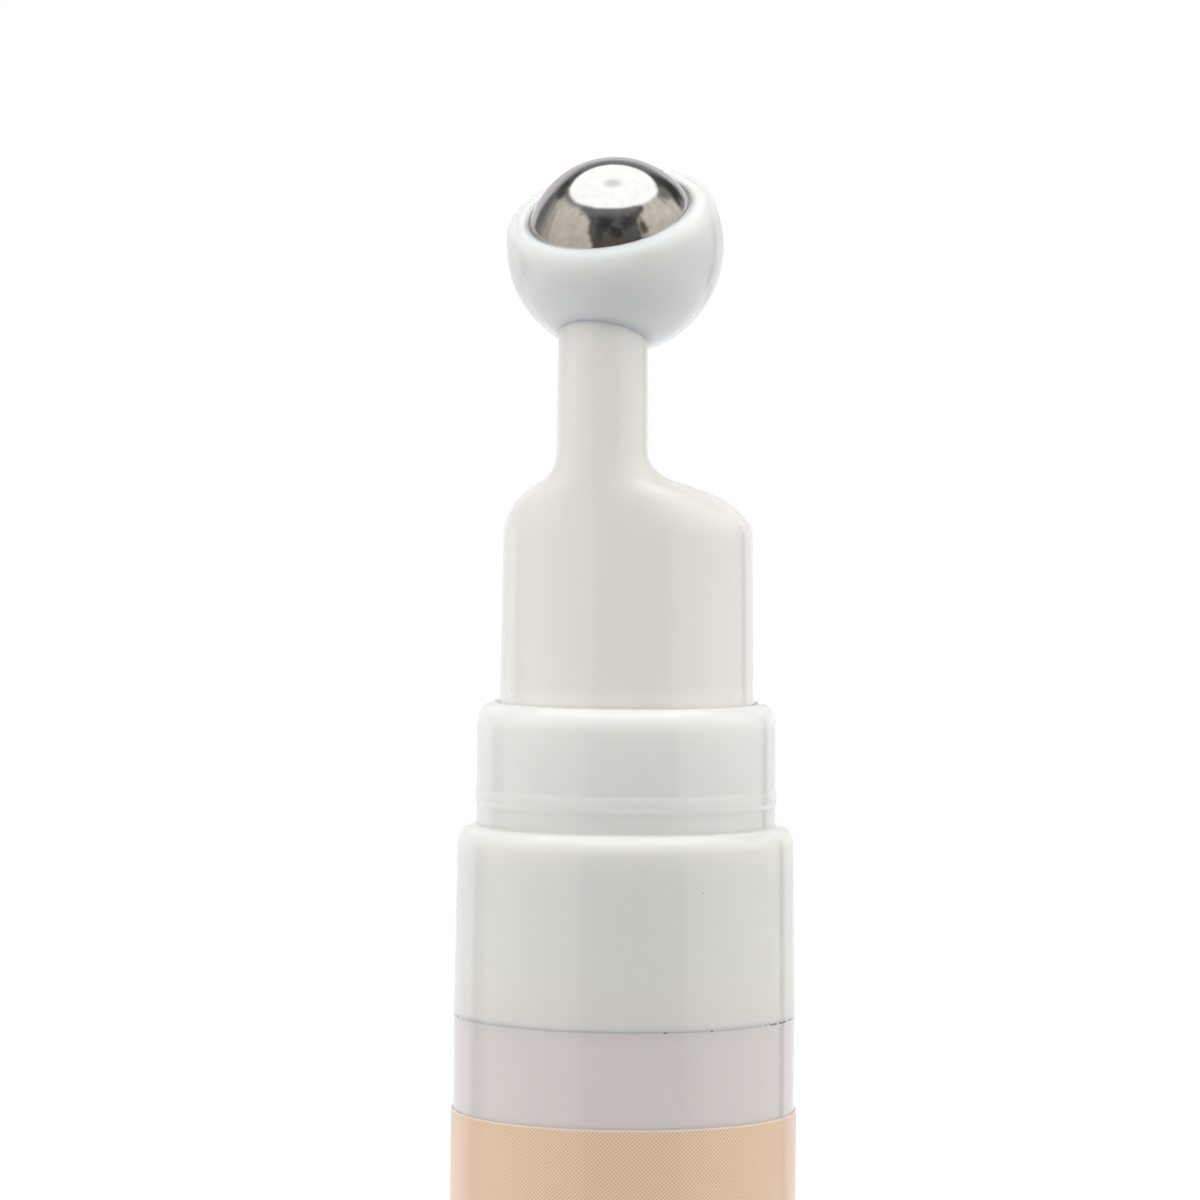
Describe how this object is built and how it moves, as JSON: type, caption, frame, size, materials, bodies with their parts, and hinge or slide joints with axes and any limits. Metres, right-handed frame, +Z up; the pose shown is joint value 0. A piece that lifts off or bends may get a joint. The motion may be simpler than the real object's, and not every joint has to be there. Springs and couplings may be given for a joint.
{
  "type": "roller ball serum bottle",
  "caption": "Slim straight cosmetic bottle with a stepped collar, a press-down pump head on an off-centre stem and a steel roller ball in a tilted cup.",
  "frame": {"origin": "centre of the base, on the surface that the bottle stands on", "axes": "+Z up along the bottle's axis; the applicator's front, towards which the cup is tilted, faces -Y"},
  "size_m": [0.0198, 0.0198, 0.1287],
  "materials": {
    "milky_bottle": "milky polypropylene, glossy, slightly translucent",
    "peach_label": "printed film with a fine crossed halftone",
    "cool_white_collar": "glossy moulded polypropylene",
    "warm_white_head": "glossy moulded polypropylene, warm white",
    "bright_white_cup": "glossy moulded polypropylene, cool white",
    "pump_white": "natural moulded polypropylene",
    "seal_grey": "soft moulded seal",
    "polished_steel": "mirror polished stainless steel",
    "spring_steel": "drawn stainless steel wire"
  },
  "bodies": {
    "bottle_body": {"bottle": "milky_bottle", "base_cap": "milky_bottle", "label": "peach_label", "shoulder_collar": "cool_white_collar", "neck_gasket": "seal_grey", "pump_body": "pump_white", "stem_guide": "pump_white", "valve_cage": "pump_white", "return_spring": "spring_steel"},
    "follower": {"follower_piston": "pump_white"},
    "inlet_valve": {"inlet_ball": "polished_steel"},
    "plunger": {"pump_stem": "pump_white", "stem_plug": "pump_white"},
    "piston": {"piston_seal": "seal_grey"},
    "applicator": {"applicator_head": "warm_white_head", "flow_insert": "pump_white", "ball_cup": "bright_white_cup"},
    "ball": {"roller_ball": "polished_steel"}
  },
  "joints": [
    {"name": "head_press", "type": "slide", "parent": "bottle_body", "child": "plunger", "axis": [0, 0, -1], "range_m": [0, 0.004], "stiffness_N_per_m": 1000, "springref_m": -0.002, "deforming": ["return_spring"]},
    {"name": "head_spin", "type": "hinge", "parent": "plunger", "child": "applicator", "pos_m": [0, 0, 0.0941], "axis": [0, 0, 1], "continuous": true},
    {"name": "ball_roll", "type": "hinge", "parent": "applicator", "child": "ball", "pos_m": [0, -0.00265, 0.12368], "axis": [1, 0, 0], "continuous": true},
    {"name": "piston_slide", "type": "slide", "parent": "plunger", "child": "piston", "axis": [0, 0, 1], "range_m": [0, 0.0008]},
    {"name": "follower_rise", "type": "slide", "parent": "bottle_body", "child": "follower", "axis": [0, 0, 1], "range_m": [0, 0.0665]},
    {"name": "inlet_valve_lift", "type": "slide", "parent": "bottle_body", "child": "inlet_valve", "axis": [0, 0, 1], "range_m": [0, 0.001]}
  ]
}
